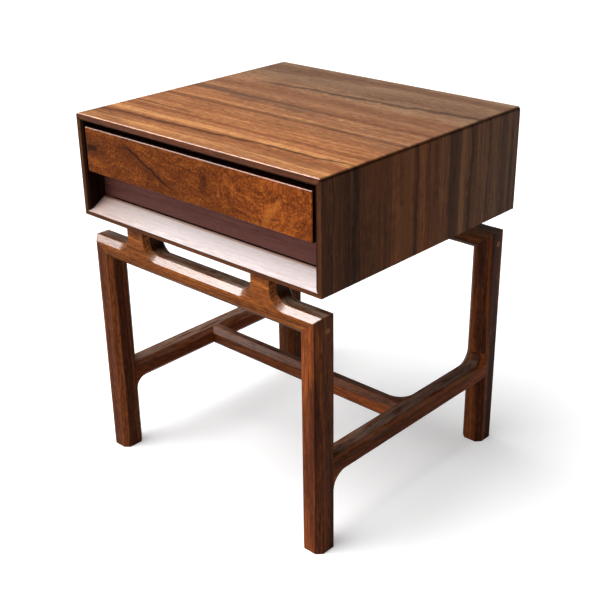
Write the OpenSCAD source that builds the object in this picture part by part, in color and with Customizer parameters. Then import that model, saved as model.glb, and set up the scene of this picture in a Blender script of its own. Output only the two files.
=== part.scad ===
// Side table with one drawer: a mitred box case carried by a base of chamfered,
// rounded frames. Millimetres. X runs left to right, the front faces -Y, Z is up.
// The origin is on the floor, under the middle of the case.

/* [Case] */
// Width of the case
case_w = 450; // [400:5:560]
// Depth of the case
case_d = 412; // [400:2:480]
// Height of the case
case_h = 148; // [140:1:170]
// Thickness of the top, bottom and side panels
wall = 10.5; // [10:0.5:12]
// Flat front edge left on the top and side panels by the bevel inside it
land = 8; // [6:0.5:9]
// Flat front edge left below the sloping sill
sill_land = 6; // [5:0.5:8]
// Chamfer along the front edge of the top
arris = 1; // [0.5:0.5:3]
// Radius of the two upper side edges
edge_r = 5; // [2:0.5:8]
// Thickness of the back panel
back_t = 6; // [4:0.5:8]

/* [Drawer] */
// Height of the drawer front
front_h = 64; // [50:1:70]
// Thickness of the drawer front
front_t = 16; // [12:1:18]
// Gap between the drawer front and each side panel
side_reveal = 4.5; // [3:0.5:8]
// Gap between the drawer front and the top panel
top_reveal = 7; // [5:0.5:10]
// How far the lower, recessed front stands behind the case's front
recess = 29; // [26:1:36]
// Height that the sloping sill gains from front to back
sill_rise = 17; // [12:1:18]
// Thickness of the drawer's sides and back
box_t = 10; // [8:0.5:12]
// How far the drawer opens
travel = 300; // [200:10:300]

/* [Base] */
// Height of the base, from the floor to the case
base_h = 378; // [330:1:450]
// Size of a leg across the front
leg_w = 35; // [32:1:40]
// Size of a leg front to back
leg_d = 36; // [32:1:40]
// Chamfer along every long edge of the base
chamfer = 7.5; // [5:0.5:8]
// Height of the rails
rail_h = 29; // [26:1:36]
// Gap between the rails and the case
post_h = 31; // [26:1:40]
// Width of the posts that carry the case
post_w = 47; // [36:1:60]
// Distance of each post from the middle
post_x = 120; // [100:1:130]
// Radius where a post meets its rail
post_r = 17; // [4:1:20]
// How far the base stands in from the case's sides
inset_x = 8; // [0:1:14]
// How far the base stands in from the case's front and back
inset_y = 2; // [0:1:14]

/* [Stretchers] */
// Height of the stretchers' top face above the floor
stretcher_z = 137; // [90:1:200]
// Height of the stretchers themselves
stretcher_h = 30; // [26:1:36]
// Width of the cross stretcher
cross_w = 26; // [22:1:34]
// Radius of the blends between stretchers and legs
blend_r = 17; // [8:1:24]

/* [Hidden] */
$fn = 64;

// Amount by which a cutting shape passes a face
over = 1;
// Clearance between sliding faces
slide_gap = 0.3;

// Case
front_y = -case_d / 2;
back_y = case_d / 2;
top_z = base_h + case_h;
inner_x = case_w / 2 - wall;
floor_z = base_h + wall;
ceiling_z = top_z - wall;
bevel = wall - land;
rebate_w = wall / 2;
back_face_y = back_y - back_t;
pin_d = 2;
pin_head_d = 4;
pin_head_h = 1;
pin_bite = 9;
pin_l = back_t + pin_bite;

// Sill
sill_d = recess - 1;
sill_slope = sill_rise / sill_d;
sill_start = (wall - sill_land) / sill_slope;
sill_top = base_h + sill_land + sill_rise;

// Drawer front and the batten behind it
front_set = 1;
board_y = front_y + front_set;
board_x = inner_x - side_reveal;
board_top = ceiling_z - top_reveal;
board_ease = 1.2;
spacer_inset = 15;
spacer_drop = 2;

// Drawer box
box_gap = 1;
box_x = inner_x - box_gap;
box_lift = 1.3;
box_bottom = sill_top + box_lift;
box_drop = 12;
box_top = ceiling_z - box_drop;
panel_gap = 2;
panel_y = front_y + recess;
panel_t = 12;
panel_back_y = panel_y + panel_t;
lap = 6;
groove = 5;
ply_t = 4;
ply_lift = 9;
ply_z = box_bottom + ply_lift;
rear_gap = 11;
box_back_y = back_face_y - rear_gap;

// Runners, kickers and stops
runner_w = 18;
kicker_w = 20;
stop_w = 30;
stop_x = 150;
stop_t = 14;
stop_drop = 20;
out_stop_gap = 1;
out_stop_y = box_back_y - box_t - travel - out_stop_gap;
rear_stop_gap = 0.5;
rear_stop_h = 40;

// Base
base_w = case_w - 2 * inset_x;
base_d = case_d - 2 * inset_y;
rail_top = base_h - post_h;
rail_bottom = rail_top - rail_h;
leg_x = base_w / 2 - leg_w / 2;
leg_y = base_d / 2 - leg_d / 2;
leg_inner_x = base_w / 2 - leg_w;
leg_inner_y = base_d / 2 - leg_d;
stretcher_l = 2 * (leg_inner_y + chamfer);
cross_l = 2 * (leg_inner_x + chamfer);
tenon_l = 14;
tenon_w = 12;
tenon_h = 14;
dowel_d = 8;
dowel_l = 50;
dowel_z = rail_top - 20;

// Screws
case_screw_d = 4.5;
case_screw_head = 9;
case_screw_head_h = 3;
case_screw_sink = 12;
case_screw_bite = 7;
small_screw_d = 3.5;
small_head_d = 7;
small_head_h = 2.5;
bottom_screw_l = 22;
hole_clearance = 0.5;
head_clearance = 1;

// Colours
veneer = "#7a4a2b";
figured = "#9a5a2e";
purple = "#4a2c2a";
solid_wood = "#6b3f28";
box_wood = "#c09a6a";
ply = "#b48a5c";
steel = "#b0b4b8";

// ---- Shapes that repeat ----

// A bar along Z with its four long edges chamfered
module bar(w, d, length, cut = chamfer) {
  linear_extrude(length)
    polygon([
      [-w / 2 + cut, -d / 2], [w / 2 - cut, -d / 2], [w / 2, -d / 2 + cut], [w / 2, d / 2 - cut],
      [w / 2 - cut, d / 2], [-w / 2 + cut, d / 2], [-w / 2, d / 2 - cut], [-w / 2, -d / 2 + cut]
    ]);
}

// The same bar along X, centred on the origin
module bar_x(d, h, length) {
  translate([-length / 2, 0, 0])
    rotate([90, 0, 90])
      bar(d, h, length);
}

// The same bar along Y, centred on the origin
module bar_y(w, h, length) {
  translate([0, length / 2, 0])
    rotate([90, 0, 0])
      bar(w, h, length);
}

// Rounds the inside corner between two chamfered bars. The corner is the origin, the bars
// lie on the negative sides of X and Y, and thick is their common thickness along Z.
module blend(r, thick) {
  difference() {
    translate([-chamfer, -chamfer, -thick / 2])
      cube([r + chamfer, r + chamfer, thick]);
    translate([r, r, 0]) {
      cylinder(h = thick + 2 * over, r = r, center = true);
      for (side = [0, 1])
        mirror([0, 0, side])
          translate([0, 0, thick / 2 - chamfer])
            cylinder(h = chamfer, r1 = r, r2 = r + chamfer);
    }
  }
}

// A rectangular block between two opposite corners
module block(low, high) {
  translate(low)
    cube(high - low);
}

// A screw pointing along +Z, with the top of its flat head at the origin
module screw(d, head_d, head_h, length) {
  cylinder(h = head_h, d = head_d);
  cylinder(h = length, d = d);
}

// ---- Case ----

// Section of a case panel, front edge at 0, outer face at 0 and inner face at -wall
module panel_section(front_arris, front_land, bevel_d) {
  polygon([
    [front_arris, 0], [case_d, 0], [case_d, rebate_w - wall], [case_d - back_t, rebate_w - wall],
    [case_d - back_t, -wall], [bevel_d, -wall], [0, -front_land], [0, -front_arris]
  ]);
}

// A panel of the given length lying under z = 0, mitred at both ends
module mitred_panel(length, front_arris, front_land, bevel_d) {
  intersection() {
    translate([-length / 2, front_y, 0])
      rotate([90, 0, 90])
        linear_extrude(length)
          panel_section(front_arris, front_land, bevel_d);
    translate([0, back_y + over, 0])
      rotate([90, 0, 0])
        linear_extrude(case_d + 2 * over)
          polygon([
            [-length / 2, 0], [length / 2, 0], [length / 2 - wall, -wall], [wall - length / 2, -wall]
          ]);
  }
}

// Everything inside the case's outline, with its two upper side edges rounded
module case_outline() {
  translate([0, back_y + over, 0])
    rotate([90, 0, 0])
      linear_extrude(case_d + 2 * over) {
        translate([-case_w / 2, base_h])
          square([case_w, case_h - edge_r]);
        translate([edge_r - case_w / 2, base_h])
          square([case_w - 2 * edge_r, case_h]);
        for (side = [-1, 1])
          translate([side * (case_w / 2 - edge_r), top_z - edge_r])
            circle(r = edge_r);
      }
}

module top_panel() {
  color(veneer)
    difference() {
      intersection() {
        translate([0, 0, top_z])
          mitred_panel(case_w, arris, land, bevel);
        case_outline();
      }
      back_pins();
    }
}

module side_panel(side) {
  color(veneer)
    difference() {
      intersection() {
        translate([side * case_w / 2, 0, base_h + case_h / 2])
          rotate([0, side * 90, 0])
            mitred_panel(case_h, 0, land, bevel);
        case_outline();
      }
      back_pins();
    }
}

module bottom_panel() {
  color(veneer)
    difference() {
      translate([0, 0, base_h])
        mirror([0, 0, 1])
          mitred_panel(case_w, 0, sill_land, sill_start);
      case_screws();
      back_pins();
    }
}

// Wedge that carries on the slope of the bottom panel's front edge
module front_sill() {
  color(veneer)
    translate([-inner_x, front_y, floor_z])
      rotate([90, 0, 90])
        linear_extrude(2 * inner_x)
          polygon([[sill_start, 0], [sill_d, 0], [sill_d, sill_top - floor_z]]);
}

module back_panel() {
  color(ply)
    difference() {
      block(
        [rebate_w - case_w / 2, back_face_y, base_h + rebate_w],
        [case_w / 2 - rebate_w, back_y, top_z - rebate_w]
      );
      back_pins();
    }
}

// Places its children at the pins that hold the back panel, pointing forwards
module at_back_pins() {
  edge = (wall + rebate_w) / 2;
  for (side = [-1, 1], step = [-1, 0, 1]) {
    translate([side * (case_w / 2 - edge), back_y, base_h + case_h / 2 + step * case_h / 3])
      rotate([90, 0, 0])
        children();
    translate([step * case_w / 3, back_y, base_h + case_h / 2 + side * (case_h / 2 - edge)])
      rotate([90, 0, 0])
        children();
  }
}

module back_pins() {
  color(steel)
    at_back_pins()
      screw(pin_d, pin_head_d, pin_head_h, pin_l);
}

module runner(side) {
  color(box_wood)
    mirror([side < 0 ? 1 : 0, 0, 0])
      block(
        [inner_x - runner_w, front_y + sill_d, floor_z],
        [inner_x, back_face_y, box_bottom - slide_gap]
      );
}

module kicker(side) {
  color(box_wood)
    mirror([side < 0 ? 1 : 0, 0, 0])
      block(
        [inner_x - kicker_w, panel_back_y + panel_gap, box_top + slide_gap],
        [inner_x, back_face_y, ceiling_z]
      );
}

// Blocks under the top that catch the drawer's back when it is open
module out_stops() {
  color(box_wood)
    for (side = [-1, 1])
      translate([side * stop_x - stop_w / 2, out_stop_y - stop_t, ceiling_z - stop_drop])
        cube([stop_w, stop_t, stop_drop]);
}

// Blocks on the back panel that the closed drawer meets
module rear_stops() {
  color(box_wood)
    for (side = [-1, 1])
      translate([side * stop_x - stop_w / 2, box_back_y + rear_stop_gap, floor_z + rear_stop_h])
        cube([stop_w, rear_gap - rear_stop_gap, rear_stop_h]);
}

// ---- Base ----

// Outline in X and Z of the leg's side of the mitre between the right leg and its rail
module leg_side_of_mitre() {
  slope = rail_h / leg_w;
  translate([0, leg_d, 0])
    rotate([90, 0, 0])
      linear_extrude(2 * leg_d)
        polygon([
          [leg_inner_x - over, -over], [leg_inner_x - over, rail_bottom - over * slope],
          [base_w / 2 + over, rail_top + over * slope], [base_w / 2 + over, -over]
        ]);
}

// Rail with its two posts, centred on Y
module rail_blank() {
  translate([0, 0, rail_bottom + rail_h / 2])
    bar_x(leg_d, rail_h, base_w);
  for (side = [0, 1])
    mirror([side, 0, 0])
      translate([post_x, 0, 0]) {
        translate([0, 0, rail_bottom + rail_h / 2])
          bar(post_w, leg_d, base_h - rail_bottom - rail_h / 2);
        for (flank = [0, 1])
          mirror([flank, 0, 0])
            translate([post_w / 2, 0, rail_top])
              rotate([90, 0, 0])
                blend(post_r, leg_d);
      }
}

module rail(side) {
  color(solid_wood)
    difference() {
      translate([0, side * leg_y, 0])
        difference() {
          intersection() {
            rail_blank();
            bar(base_w, leg_d, base_h);
          }
          for (end = [0, 1])
            mirror([end, 0, 0])
              leg_side_of_mitre();
        }
      corner_dowels();
      at_case_screws() {
        cylinder(h = base_h, d = case_screw_d + hole_clearance);
        translate([0, 0, -case_screw_sink - over])
          cylinder(h = case_screw_sink + case_screw_head_h + over, d = case_screw_head + head_clearance);
      }
    }
}

// side_x is -1 for a left leg, side_y is -1 for a front leg
module leg(side_x, side_y) {
  color(solid_wood)
    difference() {
      translate([0, side_y * leg_y, 0])
        mirror([side_x < 0 ? 1 : 0, 0, 0])
          intersection() {
            translate([leg_x, 0, 0])
              bar(leg_w, leg_d, rail_top);
            bar_x(leg_d, 2 * rail_top, base_w);
            leg_side_of_mitre();
          }
      stretcher_blank(side_x);
      corner_dowels();
    }
}

// Side stretcher with its tenons, rounded under the front leg and over the back leg
module stretcher_blank(side) {
  translate([side * leg_x, 0, stretcher_z - stretcher_h / 2]) {
    bar_y(leg_w, stretcher_h, stretcher_l);
    cube([tenon_w, stretcher_l + 2 * tenon_l, tenon_h], center = true);
    for (end = [0, 1])
      rotate([end * 180, 0, 0])
        translate([0, -leg_inner_y, -stretcher_h / 2])
          rotate([90, 0, 90])
            mirror([0, 1, 0])
              blend(blend_r, leg_w);
  }
}

module side_stretcher(side) {
  color(solid_wood)
    difference() {
      stretcher_blank(side);
      cross_blank();
    }
}

// Cross stretcher with its tenons, rounded at its back right corner
module cross_blank() {
  translate([0, 0, stretcher_z - stretcher_h / 2]) {
    bar_x(cross_w, stretcher_h, cross_l);
    cube([cross_l + tenon_l, tenon_w, tenon_h], center = true);
    translate([leg_inner_x, cross_w / 2, 0])
      mirror([1, 0, 0])
        blend(blend_r, stretcher_h);
  }
}

module cross_stretcher() {
  color(solid_wood)
    cross_blank();
}

// Dowels through the legs into the rails, their ends showing on the legs' outer faces
module corner_dowels() {
  color(figured)
    for (side_x = [0, 1], side_y = [-1, 1])
      mirror([side_x, 0, 0])
        translate([base_w / 2, side_y * leg_y, dowel_z])
          rotate([0, -90, 0])
            cylinder(h = dowel_l, d = dowel_d);
}

// Places its children where a screw's head sits in each post
module at_case_screws() {
  for (side_x = [-1, 1], side_y = [-1, 1])
    translate([side_x * post_x, side_y * leg_y, rail_bottom + case_screw_sink])
      children();
}

// Screws up through the posts into the case
module case_screws() {
  color(steel)
    at_case_screws()
      screw(
        case_screw_d, case_screw_head, case_screw_head_h,
        base_h + case_screw_bite - rail_bottom - case_screw_sink
      );
}

// ---- Drawer ----

// Board with its four front edges eased
module drawer_front() {
  color(figured)
    difference() {
      intersection() {
        translate([-board_x, board_y, board_top - front_h])
          rotate([90, 0, 90])
            linear_extrude(2 * board_x)
              polygon([
                [0, board_ease], [board_ease, 0], [front_t, 0],
                [front_t, front_h], [board_ease, front_h], [0, front_h - board_ease]
              ]);
        translate([0, board_y, board_top - front_h - over])
          linear_extrude(front_h + 2 * over)
            polygon([
              [board_ease - board_x, 0], [board_x - board_ease, 0], [board_x, board_ease], [board_x, front_t],
              [-board_x, front_t], [-board_x, board_ease]
            ]);
      }
      front_screws();
    }
}

// Batten that holds the drawer front off the recessed front, leaving room for fingers
module front_spacer() {
  color(box_wood)
    difference() {
      block(
        [spacer_inset - board_x, board_y + front_t, board_top - front_h / 2],
        [board_x - spacer_inset, panel_y, board_top - spacer_drop]
      );
      front_screws();
    }
}

module recessed_front() {
  color(purple)
    difference() {
      block([-box_x, panel_y, sill_top + panel_gap], [box_x, panel_back_y, ceiling_z - panel_gap]);
      drawer_side(-1);
      drawer_side(1);
      drawer_bottom();
      front_screws();
    }
}

// Side board, grooved for the bottom and lapped into the recessed front
module drawer_side(side) {
  color(box_wood)
    mirror([side < 0 ? 1 : 0, 0, 0])
      difference() {
        block([box_x - box_t, panel_back_y - lap, box_bottom], [box_x, box_back_y, box_top]);
        block([box_x - box_t - over, front_y, ply_z], [box_x - box_t + groove, back_y, ply_z + ply_t]);
      }
}

module drawer_back() {
  color(box_wood)
    difference() {
      block([box_t - box_x, box_back_y - box_t, ply_z + ply_t], [box_x - box_t, box_back_y, box_top]);
      bottom_screws();
    }
}

module drawer_bottom() {
  half_w = box_x - box_t + groove;
  color(ply)
    difference() {
      block([-half_w, panel_back_y - groove, ply_z], [half_w, box_back_y, ply_z + ply_t]);
      bottom_screws();
    }
}

// Screws from inside the drawer that hold its front on
module front_screws() {
  spacing = box_x / 2;
  color(steel)
    for (step = [-1.5, -0.5, 0.5, 1.5])
      translate([step * spacing, panel_back_y, board_top - front_h / 4])
        rotate([90, 0, 0])
          screw(small_screw_d, small_head_d, small_head_h, panel_back_y - board_y - front_t / 3);
}

// Screws up through the drawer's bottom into its back
module bottom_screws() {
  spacing = box_x / 2;
  color(steel)
    for (step = [-1, 0, 1])
      translate([step * spacing, box_back_y - box_t / 2, ply_z - small_head_h])
        screw(small_screw_d, small_head_d, small_head_h, bottom_screw_l);
}

top_panel();
bottom_panel();
side_panel(-1);  // left_side_panel
side_panel(1);  // right_side_panel
back_panel();
back_pins();
front_sill();
runner(-1);  // left_runner
runner(1);  // right_runner
kicker(-1);  // left_kicker
kicker(1);  // right_kicker
out_stops();
rear_stops();
rail(-1);  // front_rail
rail(1);  // back_rail
leg(-1, -1);  // front_left_leg
leg(1, -1);  // front_right_leg
leg(-1, 1);  // back_left_leg
leg(1, 1);  // back_right_leg
side_stretcher(-1);  // left_stretcher
side_stretcher(1);  // right_stretcher
cross_stretcher();
corner_dowels();
case_screws();
drawer_front();
front_spacer();
recessed_front();
drawer_side(-1);  // drawer_left_side
drawer_side(1);  // drawer_right_side
drawer_back();
drawer_bottom();
front_screws();
bottom_screws();
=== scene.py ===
import math

import bpy
from mathutils import Matrix, Vector


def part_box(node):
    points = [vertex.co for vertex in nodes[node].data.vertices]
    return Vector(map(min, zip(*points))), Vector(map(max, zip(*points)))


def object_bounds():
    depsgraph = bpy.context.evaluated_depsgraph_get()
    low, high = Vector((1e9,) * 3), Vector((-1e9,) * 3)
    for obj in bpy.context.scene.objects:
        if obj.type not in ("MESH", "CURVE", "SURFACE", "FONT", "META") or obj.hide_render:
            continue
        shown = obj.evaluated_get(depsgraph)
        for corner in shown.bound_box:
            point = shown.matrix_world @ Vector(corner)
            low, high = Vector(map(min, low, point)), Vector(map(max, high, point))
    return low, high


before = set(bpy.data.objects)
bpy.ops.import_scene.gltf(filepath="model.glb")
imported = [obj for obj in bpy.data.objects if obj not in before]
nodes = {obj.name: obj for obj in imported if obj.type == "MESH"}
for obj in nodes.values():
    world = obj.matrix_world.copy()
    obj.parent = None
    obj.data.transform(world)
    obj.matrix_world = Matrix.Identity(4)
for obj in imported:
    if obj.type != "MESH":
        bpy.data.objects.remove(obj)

# Looks of the side table with one drawer: veneered case, figured drawer front,
# stained recess, pale sill and a solid wood base. Lengths are metres.

cad_bounds = [list(corner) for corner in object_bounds()]
scene = bpy.context.scene

sill_low, sill_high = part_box("front_sill")
sill_back = sill_high.y
board_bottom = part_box("drawer_front")[0].z
case_right, case_top = cad_bounds[1][0], cad_bounds[1][2]
case_inner_right = sill_high.x

FRONT = (0, -1, 0)
UP = (0, 0, 1)
RIGHT = (1, 0, 0)
LEFT = (-1, 0, 0)
FRONT_CHAMFER = (0, -math.sqrt(0.5), math.sqrt(0.5))
# The way the sill and the bottom panel's bevel face
SLOPE = Vector((0, sill_low.z - sill_high.z, sill_high.y - sill_low.y)).normalized()


# ---- Camera ----

def add_camera(place, azimuth, elevation, roll, focal_length):
    """A camera looking down its own axis. Azimuth 0 looks along +Y; angles are in degrees."""
    azimuth = math.radians(azimuth)
    elevation = math.radians(elevation)
    roll = math.radians(roll)
    back = Vector((
        math.sin(azimuth) * math.cos(elevation),
        -math.cos(azimuth) * math.cos(elevation),
        math.sin(elevation),
    ))
    level_right = Vector((math.cos(azimuth), math.sin(azimuth), 0))
    level_up = back.cross(level_right)
    right = math.cos(roll) * level_right + math.sin(roll) * level_up
    up = math.cos(roll) * level_up - math.sin(roll) * level_right
    data = bpy.data.cameras.new("camera")
    data.lens = focal_length
    data.sensor_width = 36
    camera = bpy.data.objects.new("camera", data)
    camera.matrix_world = Matrix.Translation(place) @ Matrix((right, up, back)).transposed().to_4x4()
    scene.collection.objects.link(camera)
    scene.camera = camera


add_camera((0.9937, -1.0700, 0.9098), azimuth=42.92, elevation=24.70, roll=-0.839, focal_length=65.07)


# ---- Materials ----

def tone(code):
    """Linear colour from a six digit sRGB code."""
    parts = [int(code[start:start + 2], 16) / 255 for start in (0, 2, 4)]
    linear = [part / 12.92 if part <= 0.04045 else ((part + 0.055) / 1.055) ** 2.4 for part in parts]
    return (*linear, 1)


class Shader:
    """One material and short ways of adding nodes to it."""

    def __init__(self, name):
        self.material = bpy.data.materials.new(name)
        self.material.use_nodes = True
        self.tree = self.material.node_tree
        self.tree.nodes.clear()
        output = self.tree.nodes.new("ShaderNodeOutputMaterial")
        self.surface = self.tree.nodes.new("ShaderNodeBsdfPrincipled")
        self.tree.links.new(self.surface.outputs[0], output.inputs["Surface"])

    def feed(self, socket, value):
        if isinstance(value, bpy.types.NodeSocket):
            self.tree.links.new(value, socket)
        else:
            socket.default_value = value

    def drive(self, name, value):
        """Feeds one of the surface's own inputs."""
        self.feed(self.surface.inputs[name], value)

    def colour(self):
        """The socket that feeds the surface's colour."""
        return self.surface.inputs["Base Color"].links[0].from_socket

    def node(self, kind, inputs, **settings):
        made = self.tree.nodes.new("ShaderNode" + kind)
        for key, value in settings.items():
            setattr(made, key, value)
        for key, value in inputs.items():
            self.feed(made.inputs[key], value)
        return made

    def place(self):
        """Where on the object the surface point is."""
        return self.node("TexCoord", {}).outputs["Object"]

    def maths(self, operation, *values):
        return self.node("Math", dict(enumerate(values)), operation=operation).outputs[0]

    def vector_maths(self, operation, first, second):
        return self.node("VectorMath", {0: first, 1: second}, operation=operation).outputs[0]

    def dot(self, first, second):
        return self.node("VectorMath", {0: first, 1: second}, operation="DOT_PRODUCT").outputs["Value"]

    def length(self, vector):
        return self.node("VectorMath", {0: vector}, operation="LENGTH").outputs["Value"]

    def noise(self, vector, factors, detail=2.0, roughness=0.5):
        """Noise with so many features per metre along each direction."""
        scaled = self.vector_maths("MULTIPLY", vector, factors)
        inputs = {"Vector": scaled, "Scale": 1.0, "Detail": detail, "Roughness": roughness}
        return self.node("TexNoise", inputs).outputs["Fac"]

    def noise_line(self, place, scale, detail=2.0, roughness=0.5):
        """Noise along one dimension, with so many features per metre."""
        inputs = {"W": place, "Scale": scale, "Detail": detail, "Roughness": roughness}
        return self.node("TexNoise", inputs, noise_dimensions="1D").outputs["Fac"]

    def ramp(self, value, stops):
        made = self.node("ValToRGB", {"Fac": value})
        elements = made.color_ramp.elements
        while len(elements) < len(stops):
            elements.new(1)
        for element, (place, colour) in zip(elements, stops):
            element.position = place
            element.color = colour
        return made.outputs["Color"]

    def between(self, value, low, high):
        """0 below low and 1 above high, or the other way round where low is above high."""
        inputs = {"Value": value, "From Min": low, "From Max": high}
        return self.node("MapRange", inputs, interpolation_type="SMOOTHSTEP").outputs["Result"]

    def mix(self, factor, first, second, blend="MIX"):
        """The second colour where factor is 1 and the first where it is 0."""
        made = self.node("Mix", {}, data_type="RGBA", blend_type=blend)
        self.feed(made.inputs[0], factor)
        self.feed(made.inputs[6], first)
        self.feed(made.inputs[7], second)
        return made.outputs[2]


# ---- Masks and marks ----

def facing(shader, direction, low=0.8, high=0.95):
    """1 on faces that look along direction and 0 on the others."""
    normal = shader.node("TexCoord", {}).outputs["Normal"]
    return shader.between(shader.dot(normal, direction), low, high)


def passing(shader, start, end, patchy=0.5):
    """0 before the point start and 1 beyond the point end, in uneven patches between them."""
    place = shader.place()
    step = Vector(end) - Vector(start)
    offset = shader.vector_maths("SUBTRACT", place, start)
    share = shader.dot(offset, step / step.length_squared)
    if patchy:
        patches = shader.noise(place, (4, 12, 12), 3)
        share = shader.maths("ADD", share, shader.maths("MULTIPLY_ADD", patches, patchy, -patchy / 2))
    return shader.between(share, 0.0, 1.0)


def cover(shader, share, colour):
    """Replaces the colour where share is 1."""
    shader.drive("Base Color", shader.mix(share, shader.colour(), colour))


def tint(shader, share, shade):
    """Multiplies the colour by shade where share is 1."""
    cover(shader, share, shader.mix(1.0, shader.colour(), (*shade, 1), "MULTIPLY"))


def vein(shader, start, end, normal, width, wander, code, strength=0.8):
    """A wandering line between two points of the face with the given normal.

    Only the places of start and end in the face's own plane count."""
    run = Vector(end) - Vector(start)
    across = run.normalized().cross(Vector(normal))
    offset = shader.vector_maths("SUBTRACT", shader.place(), start)
    along = shader.dot(offset, run.normalized())
    off_line = shader.dot(offset, across)
    bends = shader.maths("SUBTRACT", shader.noise_line(along, 12, 3, 0.5), 0.5)
    off_line = shader.maths("MULTIPLY_ADD", bends, wander, off_line)
    swelling = shader.noise_line(along, 22, 3, 0.65)
    thick = shader.maths("MULTIPLY_ADD", swelling, width * 2.4, -width * 0.3)
    line = shader.between(shader.maths("DIVIDE", shader.maths("ABSOLUTE", off_line), thick), 1.0, 0.3)
    starting = shader.between(along, 0, run.length * 0.15)
    ending = shader.between(along, run.length, run.length * 0.8)
    ends = shader.maths("MULTIPLY", starting, ending)
    share = shader.maths("MULTIPLY", shader.maths("MULTIPLY", line, ends), strength)
    cover(shader, share, tone(code))


def polish(shader, weight, roughness=0.25, ior=1.5):
    """A clear coat, as thick as weight says."""
    shader.drive("Coat Weight", weight)
    shader.drive("Coat Roughness", roughness)
    shader.drive("Coat IOR", ior)


# ---- Wood ----

def grain_space(shader, grain):
    """A vector whose X runs along the grain, and whose Y and Z run across it."""
    x, y, z = shader.node("SeparateXYZ", {"Vector": shader.place()}).outputs
    along, across, depth = {"x": (x, y, z), "y": (y, x, z), "z": (z, y, x)}[grain]
    return shader.node("CombineXYZ", {"X": along, "Y": across, "Z": depth}).outputs[0]


def ring_distance(shader, space, pith):
    """Distance from the heart of the tree, bent slowly and quickly as a trunk is."""
    bend = 0.03
    wobble = 0.006
    from_pith = shader.vector_maths("SUBTRACT", space, (0, *pith))
    radius = shader.length(shader.vector_maths("MULTIPLY", from_pith, (0, 1, 1)))
    slow = shader.maths("SUBTRACT", shader.noise(space, (1.8, 7, 7), 2), 0.5)
    quick = shader.maths("SUBTRACT", shader.noise(space, (9, 50, 50), 2), 0.5)
    radius = shader.maths("MULTIPLY_ADD", slow, bend, radius)
    return shader.maths("MULTIPLY_ADD", quick, wobble, radius)


def wood(name, grain, tones, pith, rings=60, streaks=0.6, streak_scale=20, veins=0.5, cloud=0.25,
         spread=0.12, roughness=0.42, specular=0.12):
    """Straight-grained wood. tones are dark, middle and light sRGB codes, and the streak colour.

    A larger spread makes a quieter grain."""
    shader = Shader(name)
    space = grain_space(shader, grain)
    radius = ring_distance(shader, space, pith)

    growth = shader.noise_line(radius, rings, 5, 0.65)
    fibres = shader.noise(space, (14, 500, 500), 3, 0.65)
    flecks = shader.noise(space, (80, 500, 500), 3, 0.65)
    level = shader.maths("MULTIPLY_ADD", growth, 0.36, shader.maths("MULTIPLY", fibres, 0.32))
    level = shader.maths("MULTIPLY_ADD", flecks, 0.32, level)
    dark, middle, light, streak = [tone(code) for code in tones]
    colour = shader.ramp(level, [(0.5 - spread, dark), (0.5, middle), (0.5 + spread, light)])

    # Broad dark streaks that come and go along the board, feathered into its fibres
    fade = shader.noise(space, (2.6, 16, 16), 2, 0.5)
    feather = shader.noise(space, (10, 160, 160), 3, 0.7)
    drift = shader.maths("MULTIPLY_ADD", feather, 0.35, shader.noise_line(radius, streak_scale, 3, 0.6))
    broad = shader.between(drift, 0.67, 0.5)
    broad = shader.maths("MULTIPLY", broad, shader.between(fade, 0.3, 0.6))
    colour = shader.mix(shader.maths("MULTIPLY", broad, streaks), colour, streak)

    # Thin dark veins, where the slow noise passes its middle value
    slow = shader.noise_line(radius, streak_scale * 0.6, 1, 0.5)
    off_line = shader.maths("ABSOLUTE", shader.maths("SUBTRACT", slow, 0.5))
    thin = shader.maths("MULTIPLY", shader.between(off_line, 0.022, 0.004), shader.between(fade, 0.62, 0.42))
    colour = shader.mix(shader.maths("MULTIPLY", thin, veins), colour, streak)

    # Open pores: short dark dashes
    dashes = shader.noise(space, (70, 900, 900), 2, 0.6)
    pores = shader.between(dashes, 0.6, 0.72)
    colour = shader.mix(shader.maths("MULTIPLY", pores, 0.55), colour, streak)

    # Uneven colour over the whole board
    patches = shader.noise(space, (3.5, 9, 9), 3, 0.55)
    shade = shader.maths("MULTIPLY_ADD", shader.maths("SUBTRACT", patches, 0.5), cloud * 2, 1.0)
    grey = shader.node("CombineColor", {0: shade, 1: shade, 2: shade}).outputs[0]
    shader.drive("Base Color", shader.mix(1.0, colour, grey, "MULTIPLY"))

    gloss = shader.maths("MULTIPLY_ADD", fibres, 0.16, roughness - 0.08)
    shader.drive("Roughness", shader.maths("MULTIPLY_ADD", pores, 0.2, gloss))
    height = shader.maths("MULTIPLY_ADD", pores, -0.7, shader.maths("MULTIPLY", fibres, 0.5))
    bump = shader.node("Bump", {"Height": height, "Strength": 0.6, "Distance": 0.00048})
    shader.drive("Normal", bump.outputs["Normal"])
    shader.drive("Specular IOR Level", specular)
    return shader


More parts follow.
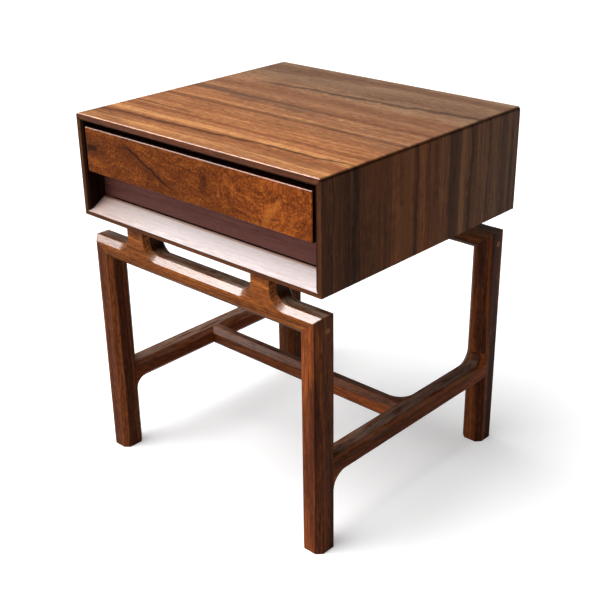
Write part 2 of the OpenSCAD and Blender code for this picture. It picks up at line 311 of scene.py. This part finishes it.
def figured_wood(name, tones, burl):
    """Wood whose fibres swirl, with patches of light and dark, and rings round the point burl."""
    shader = Shader(name)
    space = grain_space(shader, "x")
    x, y, z = shader.node("SeparateXYZ", {"Vector": space}).outputs
    swirl = shader.noise(space, (7, 8, 11), 2, 0.5)
    curl = shader.noise(space, (26, 26, 40), 2, 0.5)
    rise = shader.maths("MULTIPLY_ADD", swirl, 0.14, z)
    rise = shader.maths("MULTIPLY_ADD", curl, 0.02, rise)
    flow = shader.node("CombineXYZ", {"X": x, "Y": y, "Z": rise}).outputs[0]

    fibres = shader.noise(flow, (30, 60, 420), 3, 0.7)
    figure = shader.noise(flow, (12, 20, 90), 3, 0.6)
    mottle = shader.noise(space, (24, 24, 30), 3, 0.6)
    flecks = shader.noise(space, (330, 330, 330), 2, 0.6)
    level = shader.maths("MULTIPLY_ADD", fibres, 0.32, shader.maths("MULTIPLY", figure, 0.14))
    level = shader.maths("MULTIPLY_ADD", mottle, 0.20, level)
    level = shader.maths("MULTIPLY_ADD", flecks, 0.34, level)

    offset = shader.vector_maths("SUBTRACT", space, burl)
    radius = shader.length(shader.vector_maths("MULTIPLY", offset, (0.7, 0, 1)))
    radius = shader.maths("MULTIPLY_ADD", curl, 0.02, radius)
    rings = shader.maths("SUBTRACT", shader.noise_line(radius, 150, 3, 0.6), 0.5)
    rings = shader.maths("MULTIPLY", rings, shader.between(radius, 0.075, 0.03))
    level = shader.maths("MULTIPLY_ADD", rings, 0.24, level)
    dark, middle, light = [tone(code) for code in tones]
    shader.drive("Base Color", shader.ramp(level, [(0.38, dark), (0.5, middle), (0.62, light)]))

    shader.drive("Roughness", shader.maths("MULTIPLY_ADD", fibres, 0.16, 0.34))
    bump = shader.node("Bump", {"Height": fibres, "Strength": 0.5, "Distance": 0.0003})
    shader.drive("Normal", bump.outputs["Normal"])
    shader.drive("Specular IOR Level", 0.03)
    return shader


def zinc(name):
    shader = Shader(name)
    clouds = shader.noise(shader.place(), (900, 900, 900), 3, 0.6)
    shader.drive("Base Color", shader.ramp(clouds, [(0.3, tone("8e8c86")), (0.7, tone("c2c0b8"))]))
    shader.drive("Roughness", shader.maths("MULTIPLY_ADD", clouds, 0.3, 0.25))
    shader.drive("Metallic", 1.0)
    return shader


# ---- Finishes ----

# Some tints stand for light, shade and sheen, not for the wood's own colour: those on bevels, in the recess,
# on the drawer front's ends, inside the case, toward the front or back, on the base's upper faces, front
# right and right-facing faces, between the rail's posts, and in the sill's pale tones.

BASE_TONES = ("39190c", "5b2e15", "7b421f", "210e07")
BOX_TONES = ("94694a", "b0845c", "c69c74", "744c32")
# The sill's pale tones are partly its own light veneer and partly painted sheen
SILL_TONES = ("ab9895", "bbaba9", "c8bdbc", "967e75")


def top_veneer():
    shader = wood("top_veneer", "x", ("6b3c23", "a0663f", "d29661", "3a2118"), (0.12, 0.38), rings=45,
                  streak_scale=15, streaks=0.35, cloud=0.16, roughness=0.38)
    # Lighter toward the front, greyer and darker toward the back
    tint(shader, passing(shader, (0, -0.07, 0), (0, -0.13, 0)), (1.12, 1.12, 1.08))
    tint(shader, passing(shader, (0, -0.08, 0), (0.02, 0.01, 0)), (0.85, 0.94, 1.13))
    tint(shader, passing(shader, (0, 0.02, 0), (0.01, 0.13, 0)), (0.62, 0.74, 0.90))
    for start, end, width, wander, code, strength in (
        ((-0.30, -0.170), (0.30, -0.141), 0.0034, 0.016, "3a2014", 0.8),
        ((-0.30, -0.170), (0.30, -0.141), 0.010, 0.016, "5a3018", 0.35),
        ((-0.19, 0.082), (0.30, 0.118), 0.0085, 0.024, "3c2820", 0.65),
        ((-0.26, -0.104), (-0.09, -0.103), 0.003, 0.008, "4a2a1a", 0.6),
        ((-0.04, -0.098), (0.30, -0.090), 0.003, 0.012, "6a4020", 0.5),
        ((-0.30, 0.014), (0.08, 0.000), 0.022, 0.03, "5c4434", 0.5),
        ((0.04, 0.050), (0.30, 0.028), 0.008, 0.03, "5c3c28", 0.4),
        ((-0.32, 0.046), (0.32, 0.034), 0.028, 0.02, "7a5038", 0.45),
    ):
        vein(shader, (*start, 0), (*end, 0), UP, width, wander, code, strength)
    tint(shader, facing(shader, FRONT), (0.27, 0.19, 0.15))
    # Painted shade on the bevel under the front edge
    inner_bevel = facing(shader, (0, -0.5, -0.8), 0.7, 0.8)
    tint(shader, inner_bevel, (0.08, 0.07, 0.07))
    for side in (-1, 1):
        near_edge = (side * (case_right - 0.0045), 0, 0)
        edge = (side * (case_right - 0.0015), 0, 0)
        tint(shader, passing(shader, near_edge, edge, 0), (0.25, 0.22, 0.2))
    polish(shader, shader.maths("MULTIPLY", facing(shader, FRONT_CHAMFER), 0.3))
    return shader


def side_veneer():
    shader = wood("side_veneer", "z", ("422718", "6d3f22", "8d5831", "231610"), (0.35, 0.1), rings=45,
                  streak_scale=16, streaks=0.4, cloud=0.12, spread=0.15, roughness=0.4, specular=0.03)
    for y, width, code, strength in (
        (-0.187, 0.003, "1a120e", 0.5),
        (-0.146, 0.008, "1a120e", 0.6),
        (-0.026, 0.003, "1a120e", 0.5),
        (0.092, 0.007, "1a120e", 0.6),
        (0.134, 0.003, "1a120e", 0.4),
        (-0.046, 0.022, "7a4a28", 0.5),
        (-0.098, 0.040, "2c1a10", 0.35),
    ):
        vein(shader, (0, y, 0.62), (0, y, 0.28), RIGHT, width, 0.02, code, strength)
    # Darker toward the front; greyer toward the back, a painted reflection
    tint(shader, passing(shader, (0, -0.06, 0), (0, -0.17, 0), 0.2), (0.47, 0.49, 0.57))
    tint(shader, passing(shader, (0, -0.02, 0), (0, 0.06, 0), 0.3), (0.88, 1.06, 1.35))
    tint(shader, passing(shader, (0, 0.06, 0), (0, 0.2, 0), 0.3), (0.92, 1.12, 1.5))
    mitre_line = passing(shader, (0, 0, case_top - 0.0048), (0, 0, case_top - 0.0025), 0)
    tint(shader, mitre_line, (0.3, 0.26, 0.24))
    # Painted shade on the inner faces
    outside = case_inner_right + 0.0055
    inside = case_inner_right + 0.0025
    from_left = passing(shader, (-outside, 0, 0), (-inside, 0, 0), 0)
    from_right = passing(shader, (outside, 0, 0), (inside, 0, 0), 0)
    tint(shader, shader.maths("MULTIPLY", from_left, from_right), (0.28, 0.24, 0.24))
    return shader


def polish_sill(shader, share):
    """The sill's clear coat where share is 1, thinner over its left end, where the painted sheen is also
    weaker and the colour darker.
    """
    left_end = passing(shader, (-0.05, 0, 0), (-0.23, 0, 0))
    # Painted sheen fading: the colour darker toward the left end
    tint(shader, shader.maths("MULTIPLY", left_end, share), (0.75, 0.62, 0.55))
    coat = shader.maths("MULTIPLY_ADD", left_end, -0.25, 0.72)
    polish(shader, shader.maths("MULTIPLY", coat, share), roughness=0.6, ior=1.8)


def sill_veneer():
    shader = wood("sill_veneer", "x", SILL_TONES, (0.3, 0.2), streaks=0.05, veins=0.0, cloud=0.06,
                  spread=0.2, roughness=0.3)
    rear_line = passing(shader, (0, sill_back - 0.0035, 0), (0, sill_back - 0.0015, 0), 0)
    tint(shader, rear_line, (0.55, 0.28, 0.14))
    polish_sill(shader, 1.0)
    return shader


def bottom_veneer():
    """Plain veneer, with the sill's own carried over the slope at the front."""
    shader = wood("bottom_veneer", "x", ("3a1f12", "55301b", "6a4026", "22120c"), (0.3, 0.2), specular=0.04)
    slope = facing(shader, SLOPE)
    grain = shader.noise(shader.place(), (40, 300, 300), 3, 0.6)
    dark, middle, light = [tone(code) for code in SILL_TONES[:3]]
    cover(shader, slope, shader.ramp(grain, [(0.3, dark), (0.5, middle), (0.7, light)]))
    polish_sill(shader, slope)
    return shader


def recess_stain():
    """Dark stain, with painted shade where the drawer front overhangs it and at its left end."""
    shader = wood("recess_stain", "x", ("492723", "5c3731", "6d433c", "351c1a"), (0.2, 0.9), streaks=0.1,
                  veins=0.0, cloud=0.12, spread=0.2, roughness=0.5, specular=0.06)
    # Painted shade under the drawer front's overhang
    overhung = passing(shader, (0, 0, board_bottom - 0.0205), (0, 0, board_bottom + 0.0055), 0)
    tint(shader, overhung, (0.2, 0.18, 0.18))
    # Painted shade toward the left end
    tint(shader, passing(shader, (-0.15, 0, 0), (-0.215, 0, 0), 0), (0.7, 0.68, 0.66))
    return shader


def front_veneer():
    shader = figured_wood("front_veneer", ("3b1709", "63300f", "8c4c1c"), (0.11, 0, 0.4765))
    tint(shader, passing(shader, (0.02, 0, 0.48), (0.16, 0, 0.48)), (1.55, 1.5, 1.4))
    # Painted shade on the faces that look left, right and up
    for hidden in (LEFT, RIGHT, UP):
        tint(shader, facing(shader, hidden), (0.06, 0.05, 0.05))
    # The knot and the shade round it, a dark patch, a light streak and two dark lines
    for start, end, width, wander, code, strength in (
        ((-0.220, 0.486), (-0.165, 0.472), 0.018, 0.01, "34180b", 0.45),
        ((-0.209, 0.480), (-0.184, 0.479), 0.005, 0.006, "200d06", 0.8),
        ((-0.150, 0.500), (-0.010, 0.447), 0.012, 0.014, "42200d", 0.4),
        ((0.130, 0.444), (0.164, 0.490), 0.006, 0.01, "b06a2c", 0.35),
        ((-0.132, 0.497), (-0.030, 0.453), 0.0028, 0.022, "200d06", 0.8),
        ((-0.025, 0.491), (0.014, 0.486), 0.0016, 0.008, "351709", 0.6),
    ):
        vein(shader, (start[0], 0, start[1]), (end[0], 0, end[1]), FRONT, width, wander, code, strength)
    polish(shader, shader.maths("MULTIPLY", facing(shader, FRONT_CHAMFER), 0.3))
    return shader


def base_wood(grain, name="base_wood_", tones=BASE_TONES, front_right=(2.1, 1.85, 1.5), grey_sheen=0.3):
    """Solid wood of the base, greyed on its upper faces by a painted sheen, and lighter on its front faces
    toward the front right by painted light.
    """
    shader = wood(name + grain, grain, tones, (0.05, 0.1), rings=90, streaks=0.8, veins=0.6, spread=0.09,
                  specular=0.05)
    # Painted light: front faces lighter toward the front right
    right = passing(shader, (-0.1, 0, 0), (0.17, 0, 0), 0.3)
    front = passing(shader, (0, 0.1, 0), (0, -0.1, 0), 0)
    lit = shader.maths("MULTIPLY", facing(shader, FRONT), shader.maths("MULTIPLY", right, front))
    tint(shader, lit, front_right)
    # Painted sheen: a grey reflection laid in patches over the upper faces
    sheen_patches = shader.between(shader.noise(grain_space(shader, grain), (25, 160, 160), 3, 0.65), 0.3, 0.62)
    share = shader.maths("MULTIPLY", facing(shader, UP, 0.5, 0.98), sheen_patches)
    cover(shader, shader.maths("MULTIPLY", share, grey_sheen * 1.6), tone("9a8474"))
    return shader


def stretcher_wood():
    """The base's wood, warmer and lighter on the faces that look to the right: painted light."""
    shader = base_wood("y")
    # Painted light on the faces that look to the right
    tint(shader, facing(shader, RIGHT, 0.5, 0.9), (1.3, 1.13, 0.97))
    return shader


def rail_wood():
    """A redder base wood, with polished chamfers and painted shade on the faces between the posts."""
    shader = base_wood("x", "rail_wood_", ("4a240d", "7a421b", "a4622c", "281208"), (1.3, 1.25, 1.15), 0.5)
    # Painted shade on the faces that look left and right, between the posts
    for end in (LEFT, RIGHT):
        tint(shader, facing(shader, end, 0.5, 0.85), (0.22, 0.22, 0.25))
    bright = shader.maths("MULTIPLY_ADD", passing(shader, (-0.22, 0, 0), (0.1, 0, 0), 0.3), 0.16, 0.16)
    gloss = shader.maths("MULTIPLY", facing(shader, FRONT_CHAMFER, 0.74, 0.9), bright)
    polish(shader, gloss, ior=1.7)
    return shader


def box_wood_along():
    """The drawer box's wood with its grain front to back, dark where the runners end at the sill."""
    shader = wood("drawer_wood_y", "y", BOX_TONES, (0.1, 0.2), streaks=0.15, veins=0.2, roughness=0.55)
    runner_end = passing(shader, (0, sill_back + 0.0025, 0), (0, sill_back + 0.001, 0), 0)
    tint(shader, runner_end, (0.12, 0.1, 0.1))
    return shader


def box_wood_across():
    return wood("drawer_wood_x", "x", BOX_TONES, (0.3, 0.2), streaks=0.15, veins=0.2, roughness=0.55)


def plywood():
    return wood("plywood", "x", ("805438", "9a6c4a", "b0825e", "5e3c28"), (0.1, 0.9), rings=24,
                streaks=0.3, veins=0.1, roughness=0.6)


def dowel_wood():
    """Dowel wood, with its rings centred near the back dowels."""
    return wood("dowel_wood", "x", ("5a3019", "7c4827", "95603a", "3a1c10"), (0.187, 0.327), rings=300)


# Each finish, the pieces that have it, and how far their edges are eased in millimetres
finishes = [
    (top_veneer(), ["top_panel"], 0.5),
    (side_veneer(), ["left_side_panel", "right_side_panel"], 0.4),
    (bottom_veneer(), ["bottom_panel"], 0.4),
    (sill_veneer(), ["front_sill"], 0.2),
    (front_veneer(), ["drawer_front"], 0.4),
    (recess_stain(), ["recessed_front"], 0.6),
    (rail_wood(), ["front_rail", "back_rail"], 0.6),
    (base_wood("x", grey_sheen=0.14), ["cross_stretcher"], 0.6),
    (stretcher_wood(), ["left_stretcher", "right_stretcher"], 0.6),
    (base_wood("z"), ["front_left_leg", "front_right_leg", "back_left_leg", "back_right_leg"], 1.2),
    (dowel_wood(), ["corner_dowels"], 0),
    (box_wood_across(), ["out_stops", "rear_stops", "front_spacer", "drawer_back"], 0.6),
    (box_wood_along(), ["left_runner", "right_runner", "left_kicker", "right_kicker",
                        "drawer_left_side", "drawer_right_side"], 0.6),
    (plywood(), ["back_panel", "drawer_bottom"], 0.6),
    (zinc("steel"), ["back_pins", "case_screws", "front_screws", "bottom_screws"], 0),
]


def ease_edges(piece, width):
    """Merges the flat faces that the frame split, then rounds the edges between them."""
    weld = piece.modifiers.new("weld", "WELD")
    weld.merge_threshold = 0.00001
    merge = piece.modifiers.new("merge", "DECIMATE")
    merge.decimate_type = "DISSOLVE"
    merge.angle_limit = math.radians(0.5)
    bevel = piece.modifiers.new("ease", "BEVEL")
    bevel.width = width
    bevel.segments = 2
    bevel.limit_method = "ANGLE"
    bevel.angle_limit = math.radians(28)
    bevel.miter_outer = "MITER_ARC"
    normals = piece.modifiers.new("normals", "WEIGHTED_NORMAL")
    normals.keep_sharp = True


for shader, names, ease in finishes:
    for name in names:
        piece = nodes[name]
        piece.data.materials.clear()
        piece.data.materials.append(shader.material)
        if ease:
            ease_edges(piece, ease / 1000)


# ---- Stage and light ----

def add_floor():
    """A pale floor that shows brighter to the camera than it is to the table."""
    reach = 30
    corners = [(-reach, -reach, 0), (reach, -reach, 0), (reach, reach, 0), (-reach, reach, 0)]
    mesh = bpy.data.meshes.new("floor")
    mesh.from_pydata(corners, [], [(0, 1, 2, 3)])
    floor = bpy.data.objects.new("floor", mesh)
    scene.collection.objects.link(floor)
    shader = Shader("floor")
    seen = shader.node("LightPath", {}).outputs["Is Camera Ray"]
    shader.drive("Base Color", shader.mix(seen, (0.6, 0.6, 0.6, 1), (0.82, 0.82, 0.82, 1)))
    shader.drive("Roughness", 1.0)
    shader.drive("Specular IOR Level", 0.0)
    shader.drive("Emission Strength", shader.maths("MULTIPLY", seen, 0.34))
    shader.drive("Emission Color", (1, 1, 1, 1))
    mesh.materials.append(shader.material)


def add_sun(name, toward, strength, angle, gloss_only=False):
    """A distant light that shines from the direction toward."""
    data = bpy.data.lights.new(name, "SUN")
    data.energy = strength
    data.angle = math.radians(angle)
    sun = bpy.data.objects.new(name, data)
    sun.rotation_mode = "QUATERNION"
    sun.rotation_quaternion = Vector(toward).to_track_quat("Z", "Y")
    sun.visible_diffuse = not gloss_only
    scene.collection.objects.link(sun)


def add_world(strength):
    """White light from all round, shown to the camera at full brightness."""
    world = bpy.data.worlds.new("world")
    world.use_nodes = True
    tree = world.node_tree
    background = tree.nodes["Background"]
    background.inputs["Color"].default_value = (1, 1, 1, 1)
    seen = tree.nodes.new("ShaderNodeLightPath").outputs["Is Camera Ray"]
    brighter = tree.nodes.new("ShaderNodeMath")
    brighter.operation = "MAXIMUM"
    brighter.inputs[1].default_value = strength
    tree.links.new(seen, brighter.inputs[0])
    tree.links.new(brighter.outputs[0], background.inputs["Strength"])
    scene.world = world


add_floor()
add_sun("key", (-0.30, -0.28, 0.91), strength=3.2, angle=52)
add_sun("fill", (-0.35, -0.85, 0.40), strength=2.15, angle=50)
add_sun("window", (-0.65, -0.48, 0.59), strength=6.0, angle=30, gloss_only=True)
add_world(0.16)
scene.view_settings.view_transform = "Standard"
